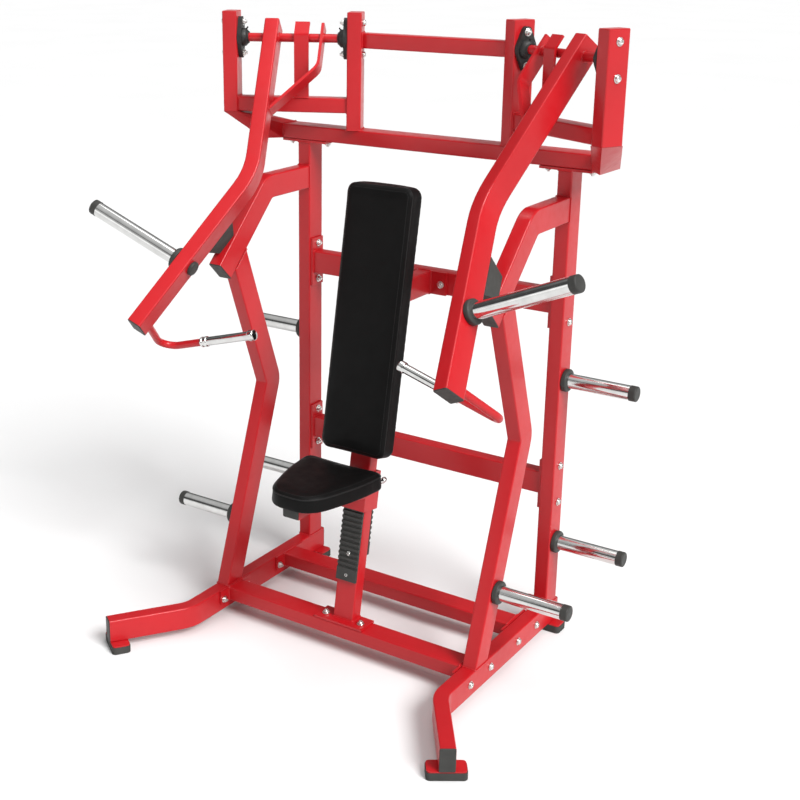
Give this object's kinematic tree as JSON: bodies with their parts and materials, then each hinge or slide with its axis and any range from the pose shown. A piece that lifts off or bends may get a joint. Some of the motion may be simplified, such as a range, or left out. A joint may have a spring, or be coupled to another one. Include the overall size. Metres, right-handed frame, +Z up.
{
  "type": "chest press machine",
  "caption": "Plate-loaded seated chest press: red tube frame, two independent top-pivot press arms with angled handles and weight horns, back pad and height-adjustable seat.",
  "frame": {"origin": "on the floor, at the middle of the machine's width and depth", "axes": "+Z up, -Y the way the sitter faces, +X to the sitter's left"},
  "size_m": [1.7618, 1.05, 2.075],
  "materials": {
    "red_paint": "glossy powder coat",
    "chrome": "polished",
    "bearing_iron": "black painted casting",
    "rubber": "matt",
    "black_plastic": "satin",
    "upholstery": "grained upholstery vinyl"
  },
  "bodies": {
    "frame": {"back_pad": "upholstery", "crossbar": "red_paint", "front_base_cross": "red_paint", "left_base_rail": "red_paint", "left_beam_end_block": "red_paint", "left_front_foot": "rubber", "left_front_leg": "red_paint", "left_front_storage_horn": "chrome", "left_hip_tube": "red_paint", "left_inner_bearing": "bearing_iron", "left_inner_post": "red_paint", "left_lower_bar": "red_paint", "left_lower_storage_horn": "chrome", "left_outer_bearing": "bearing_iron", "left_outer_post": "red_paint", "left_rear_foot": "rubber", "left_rear_upright": "red_paint", "left_shaft_guard": "red_paint", "left_upper_storage_horn": "chrome", "lower_back_cross": "red_paint", "post_stub": "red_paint", "rear_base_cross": "red_paint", "rear_seat_rack": "black_plastic", "right_base_rail": "red_paint", "right_beam_end_block": "red_paint", "right_front_foot": "rubber", "right_front_leg": "red_paint", "right_front_storage_horn": "chrome", "right_hip_tube": "red_paint", "right_inner_bearing": "bearing_iron", "right_inner_post": "red_paint", "right_lower_bar": "red_paint", "right_lower_storage_horn": "chrome", "right_outer_bearing": "bearing_iron", "right_outer_post": "red_paint", "right_rear_foot": "rubber", "right_rear_upright": "red_paint", "right_shaft_guard": "red_paint", "right_upper_storage_horn": "chrome", "seat_post": "red_paint", "seat_rack": "black_plastic", "top_beam": "red_paint", "upper_back_cross": "red_paint"},
    "right_arm": {"right_press_arm": "red_paint", "right_arm_brace": "red_paint", "right_handle_tube": "red_paint", "right_hand_grip": "chrome", "right_arm_horn": "chrome", "right_arm_shaft": "red_paint", "right_arm_bumper": "rubber"},
    "left_arm": {"left_press_arm": "red_paint", "left_arm_brace": "red_paint", "left_handle_tube": "red_paint", "left_hand_grip": "chrome", "left_arm_horn": "chrome", "left_arm_shaft": "red_paint", "left_arm_bumper": "rubber"},
    "seat": {"seat_carriage": "red_paint", "seat_pad": "upholstery"},
    "lever": {"seat_lever": "chrome"}
  },
  "joints": [
    {"name": "right_arm_swing", "type": "hinge", "parent": "frame", "child": "right_arm", "pos_m": [0.50097, 0.37104, 1.99], "axis": [-0.9063, 0.4226, 0], "range_deg": [0, 45]},
    {"name": "left_arm_swing", "type": "hinge", "parent": "frame", "child": "left_arm", "pos_m": [-0.50097, 0.37104, 1.99], "axis": [-0.9063, -0.4226, 0], "range_deg": [0, 45]},
    {"name": "seat_height", "type": "slide", "parent": "frame", "child": "seat", "axis": [0, 0.1736, 0.9848], "range_m": [-0.18, 0.036]},
    {"name": "seat_release", "type": "hinge", "parent": "seat", "child": "lever", "pos_m": [0, -0.00545, 0.58699], "axis": [-1, 0, 0], "range_deg": [0, 20], "stiffness_Nm_per_rad": 1.5, "springref_deg": -14.32}
  ]
}
